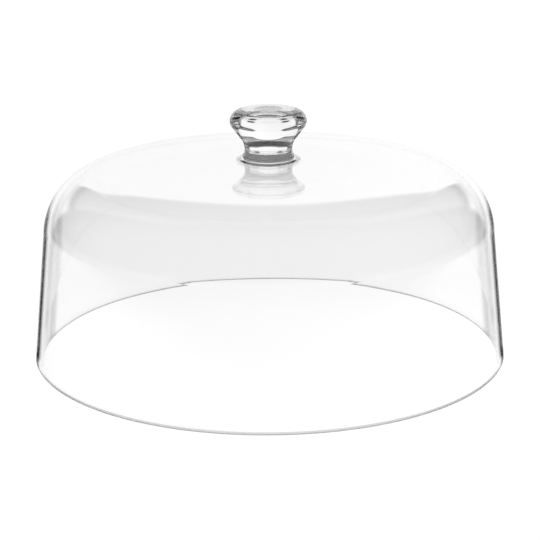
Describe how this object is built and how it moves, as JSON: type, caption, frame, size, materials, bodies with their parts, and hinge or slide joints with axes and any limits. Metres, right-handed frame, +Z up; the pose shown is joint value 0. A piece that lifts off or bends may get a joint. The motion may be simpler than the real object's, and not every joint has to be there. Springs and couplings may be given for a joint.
{
  "type": "glass display dome",
  "caption": "Low round clear-glass dome cover, open underneath, with a flat-topped waisted solid glass knob welded to its crown.",
  "frame": {"origin": "centre of the dome's outline at the plane its rim stands on", "axes": "+Z up the dome's axis to the knob; X and Y are any two horizontal directions, because every piece is round"},
  "size_m": [0.2996, 0.2996, 0.1571],
  "materials": {
    "shell_glass": "clear soda-lime glass, fire-polished",
    "weld_glass": "clear soda-lime glass, hot-worked and slightly wavy",
    "knob_glass": "clear soda-lime glass, pressed and fire-polished"
  },
  "bodies": {
    "root": {"dome_shell": "shell_glass", "weld_pad": "weld_glass", "knob": "knob_glass"}
  },
  "joints": []
}
